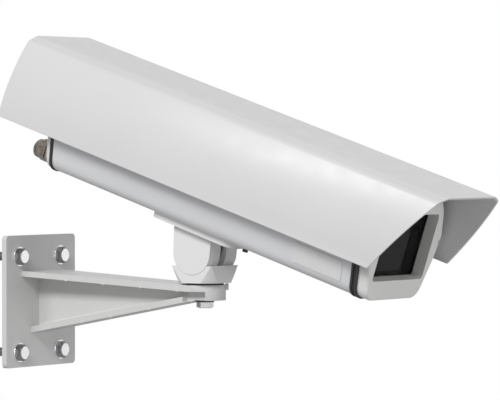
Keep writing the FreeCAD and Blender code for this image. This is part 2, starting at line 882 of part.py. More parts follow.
def make_head_screws():
    body = new_group("knuckle_screws", "tilt")
    under_head = FLOOR + " - knuckle_screw_size / 2 - hole_clearance / 2"
    heads = sketch_on(body, "XY_Plane", under_head)
    for along, across in knuckle_screw_places():
        circle(heads, along, across, "knuckle_screw_size * 2")
    pad(body, heads, "knuckle_screw_size / 2")
    shanks = sketch_on(body, "XY_Plane", under_head)
    for along, across in knuckle_screw_places():
        circle(shanks, along, across, "knuckle_screw_size")
    pad(body, shanks, "knuckle_screw_length", reverse=True)
    lock = new_group("rail_lock_screws", "tilt")
    ends = sketch_on(lock, "XY_Plane", "adapter_above_axis - lock_screw_proud")
    for side in ("", "-"):
        circle(ends, side + "lock_screw_place", "0", "lock_screw_size")
    slot_roof = "body_wall + tongue_clearance * 2 + tongue_thick"
    pad(lock, ends, "lock_screw_proud + adapter_thick + %s - joint_clearance" % slot_roof)


# Housing body: one extrusion, drilled and milled


def make_housing_body():
    body = new_body("housing_body", "tilt")
    outer = sketch_on(body, "YZ_Plane", "body_rear")
    housing_outline(outer, 0)
    pad(body, outer, "body_front - body_rear")
    ports = sketch_on(body, "YZ_Plane", "body_rear")
    for side in ("", "-"):
        circle(ports, side + PORT_HALF, FLOOR + " + port_level", "port_radius * 2")
    pad(body, ports, "body_front - body_rear")
    inner = sketch_on(body, "YZ_Plane", "body_rear")
    housing_outline(inner, value("body_wall"))
    pocket(body, inner, reverse=True)
    refill_ports(body)
    add_ribs(body)
    cut_tongue_slot(body)
    drill_housing(body)


def refill_ports(body):
    """The screw ports again, whole on the inside of the wall, and their bores."""
    ports = sketch_on(body, "YZ_Plane", "body_rear")
    for side in ("", "-"):
        circle(ports, side + PORT_HALF, FLOOR + " + port_level", "port_radius * 2")
    pad(body, ports, "body_front - body_rear")
    bores = sketch_on(body, "YZ_Plane", "body_rear")
    for side in ("", "-"):
        circle(bores, side + PORT_HALF, FLOOR + " + port_level", "port_bore")
    pocket(body, bores, reverse=True)


def add_ribs(body):
    """Two ribs along the floor that carry the sled, and the block round the tongue's slot."""
    ribs = sketch_on(body, "YZ_Plane", "body_rear")
    floor = FLOOR + " + body_wall / 2"
    rectangle(ribs, "rib_inner", "rib_outer", floor, FLOOR + " + rib_level")
    rectangle(ribs, "-rib_outer", "-rib_inner", floor, FLOOR + " + rib_level")
    block = "tongue_width / 2 + tongue_clearance + body_wall"
    roof = FLOOR + " + body_wall * 2 + tongue_clearance * 2 + tongue_thick"
    rectangle(ribs, "-(%s)" % block, block, floor, roof)
    pad(body, ribs, "body_front - body_rear")


def cut_tongue_slot(body):
    slot = sketch_on(body, "YZ_Plane", "body_rear")
    neck = "(tongue_neck / 2 + tongue_clearance)"
    rectangle(slot, "-" + neck, neck, FLOOR, FLOOR + " + body_wall + tongue_clearance")
    pocket(body, slot, reverse=True)
    bar = sketch_on(body, "YZ_Plane", "body_rear")
    wide = "(tongue_width / 2 + tongue_clearance)"
    roof = FLOOR + " + body_wall + tongue_clearance * 2 + tongue_thick"
    rectangle(bar, "-" + wide, wide, FLOOR + " + body_wall", roof)
    pocket(body, bar, reverse=True)


def drill_housing(body):
    """Holes for the shield's bolts in the roof, and for the inner screws in the ribs."""
    roof = sketch_on(body, "XY_Plane", ROOF)
    shield_bolt_circles(roof, "shield_bolt_size + hole_clearance")
    pocket(body, roof, "body_wall * 2")
    ribs = sketch_on(body, "XY_Plane", FLOOR + " + rib_level")
    for along, across in sled_screw_places():
        circle(ribs, along, across, "sled_screw_size + tapped_clearance")
    pocket(body, ribs, "rib_level - body_wall")


def rib_middle(side):
    return side + "(rib_inner + rib_outer) / 2"


def sled_screw_places():
    ends = (SLED_REAR + " + sled_screw_inset", SLED_FRONT + " - sled_screw_inset")
    return [(along, rib_middle(side)) for along in ends for side in ("", "-")]


# Covers and gaskets


def port_circles(sketch, diameter):
    for side in ("", "-"):
        circle(sketch, side + PORT_HALF, FLOOR + " + port_level", diameter)


def add_ears(body, start, length):
    ears = sketch_on(body, "YZ_Plane", start)
    port_circles(ears, "ear_radius * 2")
    pad(body, ears, length)


def make_gasket(label, rear, thick, grooved):
    """A rubber ring between the body and a cover, with an ear round each screw."""
    body = new_body(label, "tilt")
    for number in range(GASKET_LAYERS):
        lip = sketch_on(body, "YZ_Plane", "%s + %s * %d / %d" % (rear, thick, number, GASKET_LAYERS))
        sunk = value("gasket_groove") if grooved and number == GASKET_LAYERS // 2 else 0
        housing_outline(lip, sunk - value("gasket_proud"))
        pad(body, lip, "%s / %d" % (thick, GASKET_LAYERS))
    add_ears(body, rear, thick)
    hole = sketch_on(body, "YZ_Plane", rear)
    housing_outline(hole, value("gasket_wall"))
    pocket(body, hole, reverse=True)
    screws = sketch_on(body, "YZ_Plane", rear)
    port_circles(screws, "cover_screw_size + hole_clearance")
    pocket(body, screws, reverse=True)


def cover_screw_holes(body, ear_face, outward):
    """Clearance holes through the ears, and a scallop for each screw head."""
    holes = sketch_on(body, "YZ_Plane", ear_face)
    port_circles(holes, "cover_screw_size + hole_clearance")
    pocket(body, holes, reverse=not outward)
    heads = sketch_on(body, "YZ_Plane", ear_face)
    port_circles(heads, "cover_screw_head + hole_clearance * 2")
    pocket(body, heads, reverse=outward)


def make_front_cover():
    """The cast front cover, with a deep rim round the window and posts for its frame."""
    body = new_body("front_cover", "tilt")
    face = sketch_on(body, "YZ_Plane", COVER_REAR)
    housing_outline(face, value("cover_inset"))
    pad(body, face, "front_cover_thick")
    front = value(COVER_FACE)
    rim = find_edges(body, lambda edge: edge.BoundBox.XLength < TOUCH and abs(edge.BoundBox.XMin - front) < TOUCH)
    dress(body, "Fillet", rim, "cover_edge_round")
    hollow = sketch_on(body, "YZ_Plane", COVER_REAR)
    housing_outline(hollow, value("cover_inset") + value("cover_side_wall"))
    pocket(body, hollow, "front_cover_thick - cover_wall", reverse=True)
    window_rim = sketch_on(body, "YZ_Plane", GLASS_SEAT)
    window_outline(window_rim, value("window_rim_wall"))
    pad(body, window_rim, "window_recess - rim_setback")
    posts = sketch_on(body, "YZ_Plane", GLASS_REAR)
    for across, up in post_places():
        circle(posts, across, up, "post_radius * 2")
    pad(body, posts, "window_recess + seal_thick + glass_thick - rim_setback")
    add_ears(body, COVER_REAR, "ear_thick")
    add_side_tongues(body)
    opening = sketch_on(body, "YZ_Plane", COVER_FACE)
    window_outline(opening, 0)
    pocket(body, opening)
    cover_screw_holes(body, COVER_REAR + " + ear_thick", True)
    taps = sketch_on(body, "YZ_Plane", GLASS_REAR)
    for across, up in post_places():
        circle(taps, across, up, "small_screw_size + tapped_clearance")
    pocket(body, taps, "frame_screw_length", reverse=True)


def half_at(level, inset):
    """Half the width of the housing's section at a level, offset inwards."""
    corners = housing_corners(inset)[0][:5]
    for (low_half, low), (high_half, high) in zip(corners, corners[1:]):
        if low <= level <= high:
            return low_half + (high_half - low_half) * (level - low) / (high - low)
    raise ValueError("no side of the section at that level")


def add_side_tongues(body):
    """Two tongues that reach back into the body and find the cover's place."""
    outer = value("body_wall") + value("spigot_clearance")
    inner = outer + value("spigot_wall")
    base = value(FLOOR)
    levels = [base + value(name) for name in ("tongue_low", "shoulder_level", "tongue_high")]
    tongues = sketch_on(body, "YZ_Plane", COVER_REAR + " - front_gasket_thick - spigot_depth")
    for side in (1, -1):
        out = [Vector(side * half_at(level, outer), level, 0) for level in levels]
        back = [Vector(side * half_at(level, inner), level, 0) for level in reversed(levels)]
        closed_run(tongues, out + back)
    pad(body, tongues, "spigot_depth + front_gasket_thick + front_cover_thick - cover_wall / 2")


def post_places():
    top = FLOOR + " + window_high + glass_lap + post_beyond_glass"
    low = FLOOR + " + window_low - glass_lap - post_beyond_glass"
    places = []
    for side in ("", "-"):
        places.append((side + "post_top_half", top))
        places.append((side + "post_low_half", low))
    return places


def make_window():
    """The seal, the glass and the frame that presses them against the cover's rim."""
    make_window_ring("window_seal", GLASS_SEAT + " - seal_thick", "seal_thick", -value("seal_show"))
    glass = new_body("window_glass", "tilt")
    pane = sketch_on(glass, "YZ_Plane", GLASS_REAR)
    window_outline(pane, value("glass_lap"))
    pad(glass, pane, "glass_thick")
    frame = make_window_ring("glass_frame", GLASS_REAR + " - frame_thick", "frame_thick", 0)
    lobes = sketch_on(frame, "YZ_Plane", GLASS_REAR + " - frame_thick")
    for across, up in post_places():
        circle(lobes, across, up, "frame_lobe")
    pad(frame, lobes, "frame_thick")
    holes = sketch_on(frame, "YZ_Plane", GLASS_REAR + " - frame_thick")
    for across, up in post_places():
        circle(holes, across, up, "small_screw_size + hole_clearance")
    pocket(frame, holes, reverse=True)
    screws = new_group("frame_screws", "tilt")
    heads = sketch_on(screws, "YZ_Plane", GLASS_REAR + " - frame_thick")
    for across, up in post_places():
        circle(heads, across, up, "small_screw_size * pan_head_ratio")
    pad(screws, heads, "small_screw_head", reverse=True)
    shanks = sketch_on(screws, "YZ_Plane", GLASS_REAR + " - frame_thick")
    for across, up in post_places():
        circle(shanks, across, up, "small_screw_size")
    pad(screws, shanks, "frame_screw_length")


def make_window_ring(label, rear, thick, inner_margin):
    body = new_body(label, "tilt")
    ring = sketch_on(body, "YZ_Plane", rear)
    outer_margin = value("glass_lap") if label == "window_seal" else value("frame_margin")
    window_outline(ring, outer_margin)
    pad(body, ring, thick)
    hole = sketch_on(body, "YZ_Plane", rear)
    window_outline(hole, inner_margin)
    pocket(body, hole, reverse=True)
    return body


def make_rear_cover():
    body = new_body("rear_cover", "tilt")
    face = sketch_on(body, "YZ_Plane", REAR_COVER_FACE)
    housing_outline(face, value("cover_inset"))
    pad(body, face, "rear_cover_thick")
    rear = value(REAR_COVER_FACE)
    rim = find_edges(body, lambda edge: abs(edge.BoundBox.XMax - rear) < TOUCH)
    dress(body, "Chamfer", rim, "cover_edge_round")
    inner_face = "(body_rear - rear_gasket_thick)"
    hollow = sketch_on(body, "YZ_Plane", inner_face)
    housing_outline(hollow, value("cover_inset") + value("rear_cover_wall"))
    pocket(body, hollow, "rear_cover_thick - cover_wall")
    add_ears(body, inner_face + " - ear_thick", "ear_thick")
    cover_screw_holes(body, inner_face + " - ear_thick", False)
    inlets = sketch_on(body, "YZ_Plane", inner_face)
    for side in ("", "-"):
        circle(inlets, side + "gland_half", FLOOR + " + gland_level", "gland_thread + tapped_clearance")
    pocket(body, inlets)


def make_cover_screws(label, seat, outward):
    """Cap screws whose heads sit on the cover's ears."""
    body = new_group(label, "tilt")
    heads = sketch_on(body, "YZ_Plane", seat)
    port_circles(heads, "cover_screw_head")
    pad(body, heads, "cover_screw_head_height", reverse=not outward)
    shanks = sketch_on(body, "YZ_Plane", seat)
    port_circles(shanks, "cover_screw_size")
    pad(body, shanks, "cover_screw_length", reverse=outward)
    head_top = "%s %s cover_screw_head_height" % (seat, "+" if outward else "-")
    sockets = sketch_on(body, "YZ_Plane", head_top)
    for side in ("", "-"):
        hexagon(sockets, side + PORT_HALF, FLOOR + " + port_level", "cover_socket_flats")
    pocket(body, sockets, "cover_socket_depth", reverse=not outward)


# Cable glands


def make_gland(side, name):
    across = side + "gland_half"
    level = FLOOR + " + gland_level"
    gland = new_body(name + "_gland_body", "tilt")
    face = REAR_COVER_FACE
    collar = sketch_on(gland, "YZ_Plane", face)
    hexagon(collar, across, level, "gland_flats", CORNER_UP)
    pad(gland, collar, "gland_hex_thick", reverse=True)
    thread = sketch_on(gland, "YZ_Plane", face)
    circle(thread, across, level, "gland_thread")
    pad(gland, thread, "gland_inside")
    neck = sketch_on(gland, "YZ_Plane", face + " - gland_hex_thick")
    circle(neck, across, level, "gland_neck")
    pad(gland, neck, "gland_neck_length + gland_nut_hex", reverse=True)
    bore = sketch_on(gland, "YZ_Plane", face + " + gland_inside")
    circle(bore, across, level, "gland_bore")
    pocket(gland, bore)
    make_gland_nut(across, level, name)
    make_gland_seal(across, level, name)


def make_gland_nut(across, level, name):
    """A hexagon nut with a domed end, screwed over the gland's neck."""
    nut = new_body(name + "_gland_nut", "tilt")
    front = REAR_COVER_FACE + " - gland_hex_thick - gland_neck_length"
    bar = sketch_on(nut, "YZ_Plane", front)
    hexagon(bar, across, level, "gland_nut_flats", CORNER_UP)
    pad(nut, bar, "gland_nut_hex", reverse=True)
    dome = sketch_on(nut, "YZ_Plane", front + " - gland_nut_hex")
    circle(dome, across, level, "gland_nut_flats")
    pad(nut, dome, "gland_nut_dome", reverse=True)
    tip = value(front + " - gland_nut_hex - gland_nut_dome")
    rim = find_edges(nut, lambda edge: abs(edge.BoundBox.XMax - tip) < TOUCH)
    dress(nut, "Fillet", rim, "gland_dome_round")
    thread = sketch_on(nut, "YZ_Plane", front)
    circle(thread, across, level, "gland_neck + tapped_clearance")
    pocket(nut, thread, "gland_thread_depth")
    mouth = sketch_on(nut, "YZ_Plane", front)
    circle(mouth, across, level, "gland_nut_mouth")
    pocket(nut, mouth)


def make_gland_seal(across, level, name):
    """A rubber sleeve squeezed between the nut and the neck, open for the cable."""
    seal = new_body(name + "_gland_seal", "tilt")
    rear = REAR_COVER_FACE + " - gland_hex_thick - gland_neck_length - gland_thread_depth"
    sleeve = sketch_on(seal, "YZ_Plane", rear)
    circle(sleeve, across, level, "gland_neck - joint_clearance * 2")
    circle(sleeve, across, level, "gland_mouth")
    pad(seal, sleeve, "gland_thread_depth - gland_nut_hex")


def make_gland_locknuts():
    body = new_group("gland_locknuts", "tilt")
    inner_face = REAR_COVER_FACE + " + cover_wall"
    nuts = sketch_on(body, "YZ_Plane", inner_face)
    for side in ("", "-"):
        hexagon(nuts, side + "gland_half", FLOOR + " + gland_level", "locknut_flats")
        circle(nuts, side + "gland_half", FLOOR + " + gland_level", "gland_thread + tapped_clearance")
    pad(body, nuts, "locknut_thick")


# Sunshield


def make_sunshield():
    """A folded sheet over the body, longer at the front along its top than at its sides."""
    body = new_body("sunshield", "tilt")
    profile = sketch_on(body, "YZ_Plane", SHIELD_REAR)
    shield_profile(profile)
    pad(body, profile, "%s - %s" % (VISOR_HIGH, SHIELD_REAR))
    visor = sketch_on(body, "XZ_Plane")
    low = FLOOR + " + shield_low"
    slant = "(%s - %s) / (%s - shield_low)" % (VISOR_HIGH, VISOR_LOW, SHIELD_TOP_LEVEL)
    ahead = VISOR_HIGH + " + cut_overrun * 2"
    polygon(visor, [
        (VISOR_LOW + " - cut_overrun * " + slant, low + " - cut_overrun"),
        (VISOR_HIGH + " + cut_overrun * " + slant, SHIELD_TOP + " + cut_overrun"),
        (ahead, SHIELD_TOP + " + cut_overrun"),
        (ahead, low + " - cut_overrun"),
    ])
    pocket(body, visor, SHIELD_HALF + " * 3", symmetric=True)
    dress(body, "Fillet", find_edges(body, is_shield_bend), "shield_bend_radius")
    hollow_shield(body)
    add_rail(body)


def shield_profile(sketch):
    """Straight skirts, a curved side tangent to each, a narrow bevel and a flat top."""
    base = value(FLOOR)
    half = value(SHIELD_HALF)
    knee = base + value("shield_knee_level")
    bend = Vector(value("shield_bend_half"), base + value(SHIELD_BEND_LEVEL), 0)
    inward = half - bend.x
    rise = bend.y - knee
    radius = (rise * rise + inward * inward) / (2 * inward)
    turn = math.asin(rise / radius) / 2
    middle = Vector(half - radius + radius * math.cos(turn), knee + radius * math.sin(turn), 0)
    low = Vector(half, base + value("shield_low"), 0)
    top = Vector(value(SHIELD_TOP_HALF), value(SHIELD_TOP), 0)
    side = [low, Vector(half, knee, 0), bend, top]
    other = [Vector(-point.x, point.y, 0) for point in side]
    sketch.addGeometry(Part.LineSegment(other[0], side[0]), False)
    sketch.addGeometry(Part.LineSegment(side[0], side[1]), False)
    sketch.addGeometry(Part.Arc(side[1], middle, side[2]), False)
    sketch.addGeometry(Part.LineSegment(side[2], side[3]), False)
    sketch.addGeometry(Part.LineSegment(side[3], other[3]), False)
    sketch.addGeometry(Part.LineSegment(other[3], other[2]), False)
    sketch.addGeometry(Part.Arc(other[2], Vector(-middle.x, middle.y, 0), other[1]), False)
    sketch.addGeometry(Part.LineSegment(other[1], other[0]), False)
    join_ends(sketch)


def is_shield_bend(edge):
    if not runs_along(edge, Vector(1, 0, 0)):
        return False
    half = abs(edge.BoundBox.YMin)
    level = edge.BoundBox.ZMin
    near_bend = abs(half - value("shield_bend_half")) < TOUCH
    near_top = abs(half - value(SHIELD_TOP_HALF)) < TOUCH
    return (near_bend or near_top) and level > value(SHIELD_BEND_LEVEL)


def hollow_shield(body):
    """Leave a sheet of even thickness, open below, at the rear and at the front."""
    doc.recompute()
    rear = value(SHIELD_REAR)
    low = value(FLOOR + " + shield_low")
    names = []
    for number, face in enumerate(body.Tip.Shape.Faces, start=1):
        box = face.BoundBox
        flat_bottom = box.ZLength < TOUCH and abs(box.ZMin - low) < TOUCH
        flat_rear = box.XLength < TOUCH and abs(box.XMin - rear) < TOUCH
        slanted = box.XMin > value(VISOR_LOW) - TOUCH
        if flat_bottom or flat_rear or slanted:
            names.append("Face%d" % number)
    base = body.Tip
    sheet_metal = body.newObject("PartDesign::Thickness", "Sheet")
    sheet_metal.Base = (base, names)
    sheet_metal.Value = value("shield_wall")
    sheet_metal.setExpression("Value", cells("shield_wall"))
    sheet_metal.Reversed = True
    sheet_metal.Join = 0


def add_rail(body):
    """A channel under the roof in which the heads of the shield's bolts slide."""
    rail = sketch_on(body, "YZ_Plane", RAIL_REAR)
    ceiling = SHIELD_TOP + " - shield_wall"
    low = ceiling + " - rail_drop"
    rectangle(rail, "-rail_width / 2", "rail_width / 2", low, ceiling + " + shield_wall / 2")
    pad(body, rail, "%s - %s" % (RAIL_FRONT, RAIL_REAR))
    channel = sketch_on(body, "YZ_Plane", RAIL_REAR)
    inner = "(rail_width / 2 - rail_lip)"
    rectangle(channel, "-" + inner, inner, low + " + rail_lip", ceiling)
    pocket(body, channel, "%s - %s" % (RAIL_FRONT, RAIL_REAR), reverse=True)
    slot = sketch_on(body, "YZ_Plane", RAIL_REAR)
    rectangle(slot, "-rail_slot / 2", "rail_slot / 2", low, ceiling)
    pocket(body, slot, "%s - %s" % (RAIL_FRONT, RAIL_REAR), reverse=True)


def shield_bolt_circles(sketch, diameter):
    for along in SHIELD_BOLT_PLACES:
        circle(sketch, along, "0", diameter)


def make_shield_fixings():
    lip_top = SHIELD_TOP + " - shield_wall - rail_drop + rail_lip"
    bolts = new_group("shield_bolts", "tilt")
    heads = sketch_on(bolts, "XY_Plane", lip_top)
    shield_bolt_circles(heads, "shield_bolt_flats")
    pad(bolts, heads, "shield_bolt_head")
    shanks = sketch_on(bolts, "XY_Plane", lip_top)
    shield_bolt_circles(shanks, "shield_bolt_size")
    pad(bolts, shanks, "shield_bolt_length", reverse=True)
    spacers = new_group("shield_spacers", "tilt")
    rings = sketch_on(spacers, "XY_Plane", ROOF)
    shield_bolt_circles(rings, "spacer_outer")
    shield_bolt_circles(rings, "shield_bolt_size + hole_clearance")
    pad(spacers, rings, "shield_top_gap - shield_wall - rail_drop")
    nuts = new_group("shield_nuts", "tilt")
    hexes = sketch_on(nuts, "XY_Plane", ROOF + " - body_wall")
    for along in SHIELD_BOLT_PLACES:
        hexagon(hexes, along, "0", "shield_bolt_flats")
        circle(hexes, along, "0", "shield_bolt_size + tapped_clearance")
    pad(nuts, hexes, "shield_bolt_head", reverse=True)


# Inside the housing


def screw_group(label, places, seat, width, head, length):
    """Pan-head screws that all sit on one level."""
    body = new_group(label, "tilt")
    heads = sketch_on(body, "XY_Plane", seat)
    for along, across in places:
        circle(heads, along, across, "%s * pan_head_ratio" % width)
    pad(body, heads, head)
    shanks = sketch_on(body, "XY_Plane", seat)
    for along, across in places:
        circle(shanks, along, across, width)
    pad(body, shanks, length, reverse=True)


def make_camera_sled():
    """A folded tray on the two ribs, slotted so that a camera can be set along it."""
    body = new_body("camera_sled", "tilt")
    tray = sketch_on(body, "YZ_Plane", SLED_REAR)
    low = FLOOR + " + rib_level"
    rectangle(tray, "-sled_half", "sled_half", low, low + " + sled_thick + sled_lip")
    pad(body, tray, "%s - %s" % (SLED_FRONT, SLED_REAR))
    trough = sketch_on(body, "YZ_Plane", SLED_REAR)
    inner = "(sled_half - sled_thick)"
    rectangle(trough, "-" + inner, inner, low + " + sled_thick", low + " + sled_thick + sled_lip")
    pocket(body, trough, "%s - %s" % (SLED_FRONT, SLED_REAR), reverse=True)
    slots = sketch_on(body, "XY_Plane", low + " + sled_thick")
    for number in range(SLED_SLOTS):
        start = SLED_REAR + " + sled_slot_start + %d * (sled_slot_length + sled_slot_gap)" % number
        rectangle(slots, start, start + " + sled_slot_length", "-sled_slot_width / 2", "sled_slot_width / 2")
    pocket(body, slots, "sled_thick * 2")
    holes = sketch_on(body, "XY_Plane", low + " + sled_thick")
    for along, across in sled_screw_places():
        circle(holes, along, across, "sled_screw_size + hole_clearance")
    pocket(body, holes, "sled_thick * 2")
    screw_group("sled_screws", sled_screw_places(), low + " + sled_thick",
                "sled_screw_size", "sled_screw_head", "sled_screw_length")


def make_board(label, rear, length, half, post_height, places):
    """A flat circuit board on posts that stand on the ribs."""
    level = FLOOR + " + rib_level"
    body = new_body(label, "tilt")
    board = sketch_on(body, "XY_Plane", "%s + %s" % (level, post_height))
    rectangle(board, rear, "%s + %s" % (rear, length), "-" + half, half)
    pad(body, board, "board_thick")
    holes = sketch_on(body, "XY_Plane", "%s + %s" % (level, post_height))
    for along, across in places:
        circle(holes, along, across, "small_screw_size + hole_clearance")
    pocket(body, holes, "board_thick", reverse=True)
    posts = new_group(label.split("_")[0] + "_posts", "tilt")
    rings = sketch_on(posts, "XY_Plane", level)
    for along, across in places:
        circle(rings, along, across, "post_outer")
        circle(rings, along, across, "small_screw_size + tapped_clearance")
    pad(posts, rings, post_height)
    top = "%s + %s + board_thick" % (level, post_height)
    screw_group(label.split("_")[0] + "_screws", places, top,
                "small_screw_size", "small_screw_head", "board_thick + %s - joint_clearance" % post_height)


def make_terminal_block():
    body = new_body("terminal_block", "tilt")
    level = FLOOR + " + rib_level + board_post_height + board_thick"
    block = sketch_on(body, "XY_Plane", level)
    middle = BOARD_REAR + " + board_length / 2"
    rectangle(block, middle + " - terminal_width / 2", middle + " + terminal_width / 2",
              "-terminal_length / 2", "terminal_length / 2")
    pad(body, block, "terminal_height")
    ways = sketch_on(body, "XY_Plane", level + " + terminal_height")
    for number in range(TERMINAL_WAYS):
        across = "terminal_length * (%d + 0.5) / %d - terminal_length / 2" % (number, TERMINAL_WAYS)
        circle(ways, middle, across, "terminal_way")
    pocket(body, ways, "terminal_way_depth")


def make_inside():
    make_camera_sled()
    heater_places = [(HEATER_CENTRE, rib_middle(side)) for side in ("", "-")]
    make_board("heater_board", HEATER_CENTRE + " - heater_depth / 2", "heater_depth", "heater_half",
               "heater_post_height", heater_places)
    board_places = []
    for along in (BOARD_REAR + " + board_post_inset", BOARD_REAR + " + board_length - board_post_inset"):
        board_places += [(along, rib_middle("")), (along, rib_middle("-"))]
    make_board("power_board", BOARD_REAR, "board_length", "board_half", "board_post_height", board_places)
    make_terminal_block()


def make_plaque():
    """A thin bare plaque on the sloping side nearest the viewer."""
    body = new_body("blank_label", "tilt")
    slope = math.atan2(value("waist_half - floor_half"), value("waist_level"))
    up = Vector(-math.sin(slope), math.cos(slope), 0)
    out = Vector(-math.cos(slope), -math.sin(slope), 0)
    foot = Vector(-value("floor_half"), value(FLOOR), 0) + up * value("plaque_above_corner")
    rise = up * value("plaque_height")
    thick = out * value("plaque_thick")
    corners = [foot, foot + thick, foot + thick + rise, foot + rise]
    section = sketch_on(body, "YZ_Plane", PLAQUE_REAR)
    closed_run(section, corners)
    pad(body, section, "plaque_length")


def build():
    make_wall_bracket()
    make_wall_bolts()
    make_wall_washers()
    make_pivot()
    make_pan_saddle()
    make_clamp_nut()
    make_tilt_knuckle()
    make_adapter_plate()
    make_head_screws()
    make_housing_body()
    make_gasket("front_gasket", "body_front", "front_gasket_thick", True)
    make_gasket("rear_gasket", "(body_rear - rear_gasket_thick)", "rear_gasket_thick", False)
    make_front_cover()
    make_window()
    make_rear_cover()
    make_cover_screws("front_cover_screws", COVER_REAR + " + ear_thick", True)
    make_cover_screws("rear_cover_screws", "(body_rear - rear_gasket_thick) - ear_thick", False)
    make_gland("-", "near")
    make_gland("", "far")
    make_gland_locknuts()
    make_sunshield()
    make_shield_fixings()
    make_inside()
    make_plaque()


def check_and_export():
    """Stop on any feature that failed, then write one file for each piece."""
    doc.recompute()
    for obj in doc.Objects:
        if "Invalid" in obj.State or "Error" in obj.State:
            raise RuntimeError("%s (%s) failed: %s" % (obj.Name, obj.Label, obj.State))
    os.makedirs("parts", exist_ok=True)
    for obj in pieces:
        if obj.Shape.isNull() or not obj.Shape.isValid():
            raise RuntimeError("%s has no valid shape" % obj.Label)
        obj.Shape.exportStep("parts/%s.step" % obj.Label)
        box = obj.Shape.BoundBox
        print("%-20s %d solids, %.1f x %.1f x %.1f mm" % (
            obj.Label, len(obj.Shape.Solids), box.XLength, box.YLength, box.ZLength))


build()
check_and_export()
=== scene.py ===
# %% [markdown]
# # A camera housing on a wall arm
# This lesson dresses a finished engineering model. The metal parts already exist as a fixed frame, so
# most steps give a real part its paint, its plating or its rubber, and a few steps model what is too
# fine for the frame, such as screw threads and the little cast nibs on the arm. Everything is in
# metres, with X out from the wall, Z up and the origin on the wall.

import json
import math

import bmesh
import bpy
from mathutils import Matrix, Vector


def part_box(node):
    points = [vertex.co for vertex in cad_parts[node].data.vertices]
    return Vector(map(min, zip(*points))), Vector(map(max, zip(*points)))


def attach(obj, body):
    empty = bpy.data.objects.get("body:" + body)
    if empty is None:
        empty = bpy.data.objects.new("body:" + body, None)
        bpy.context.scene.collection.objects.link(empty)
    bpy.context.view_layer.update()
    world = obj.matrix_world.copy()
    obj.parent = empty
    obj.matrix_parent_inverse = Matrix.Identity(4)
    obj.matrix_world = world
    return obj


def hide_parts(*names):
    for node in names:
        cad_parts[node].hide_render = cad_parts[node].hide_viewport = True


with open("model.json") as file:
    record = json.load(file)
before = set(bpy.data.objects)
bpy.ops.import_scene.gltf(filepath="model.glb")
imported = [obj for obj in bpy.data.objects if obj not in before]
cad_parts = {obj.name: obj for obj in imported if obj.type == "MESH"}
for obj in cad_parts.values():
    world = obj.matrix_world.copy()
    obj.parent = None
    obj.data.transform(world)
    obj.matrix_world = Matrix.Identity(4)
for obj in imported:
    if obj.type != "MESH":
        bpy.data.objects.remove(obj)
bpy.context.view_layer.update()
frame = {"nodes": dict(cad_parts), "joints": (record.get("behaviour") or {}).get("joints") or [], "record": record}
nodes = frame["nodes"]

# %% [markdown]
# ## Two frames of reference
# The housing hangs nose down, turned about the tilt axis. Pieces that belong to it are easiest to model level,
# around that axis, and then turn with one matrix, which this cell makes; no piece below is turned with it. The
# axis is read from the frame's own joint, so nothing here has to be measured twice.

# %% The tilting frame
MM = 0.001
REST_PITCH = math.radians(18.3)
PIVOT = {joint["name"]: Vector(joint["pos_m"]) for joint in frame["joints"]}
TILTED = Matrix.Translation(PIVOT["tilt"]) @ Matrix.Rotation(REST_PITCH, 4, "Y")
print("tilt axis at", [round(number, 4) for number in PIVOT["tilt"]])

# %% [markdown]
# ## Material building blocks
# Every finish here is made of the same few ideas: a base colour that drifts a little over the
# surface, a roughness that isn't even, and a fine bump. A short helper makes each node and wires it,
# so that a material reads as a list of what it is. All patterns use Object coordinates, because the
# parts sit at the origin unturned and the pattern then stays put when the model moves.


# %% Helpers for materials
def new_material(name):
    material = bpy.data.materials.new(name)
    material.use_nodes = True
    tree = material.node_tree
    return material, tree, tree.nodes["Principled BSDF"]


def node(tree, kind, inputs=None, **settings):
    made = tree.nodes.new("ShaderNode" + kind)
    for key, setting in settings.items():
        setattr(made, key, setting)
    for key, given in (inputs or {}).items():
        if isinstance(given, bpy.types.NodeSocket):
            tree.links.new(given, made.inputs[key])
        else:
            made.inputs[key].default_value = given
    return made


def object_place(tree, stretch=(1, 1, 1)):
    coordinates = node(tree, "TexCoord")
    mapping = node(tree, "Mapping", {"Vector": coordinates.outputs["Object"], "Scale": stretch})
    return mapping.outputs["Vector"]


def noise(tree, place, scale, detail=3.0, rough=0.5):
    made = node(tree, "TexNoise", {"Vector": place, "Scale": scale, "Detail": detail, "Roughness": rough})
    return made.outputs["Fac"]


def ramp(tree, factor, stops):
    """A colour ramp; stops are pairs of a position and a grey level or a colour."""
    made = node(tree, "ValToRGB", {"Fac": factor})
    elements = made.color_ramp.elements
    while len(elements) < len(stops):
        elements.new(0.5)
    for element, (position, colour) in zip(elements, stops):
        shade = (colour,) * 3 if isinstance(colour, (int, float)) else colour
        element.position = position
        element.color = (*shade, 1)
    return made.outputs["Color"]


def bump(tree, height, strength, distance, below=None):
    inputs = {"Height": height, "Strength": strength, "Distance": distance}
    if below:
        inputs["Normal"] = below
    return node(tree, "Bump", inputs).outputs["Normal"]


def tint(colour, amount):
    return tuple(channel * amount for channel in colour)


# %% [markdown]
# ## Powder coat
# The casting, the extrusion, the covers and the shield are all aluminium under a light grey powder
# coat. Powder melts into a skin with a faint orange peel, about a millimetre from crest to crest, and a
# casting's skin is coarser than an extrusion's. The coat is satin, so it has a soft sheen and no
# mirror. Dust settles in a thin uneven film, which shows as a slow drift of the grey.


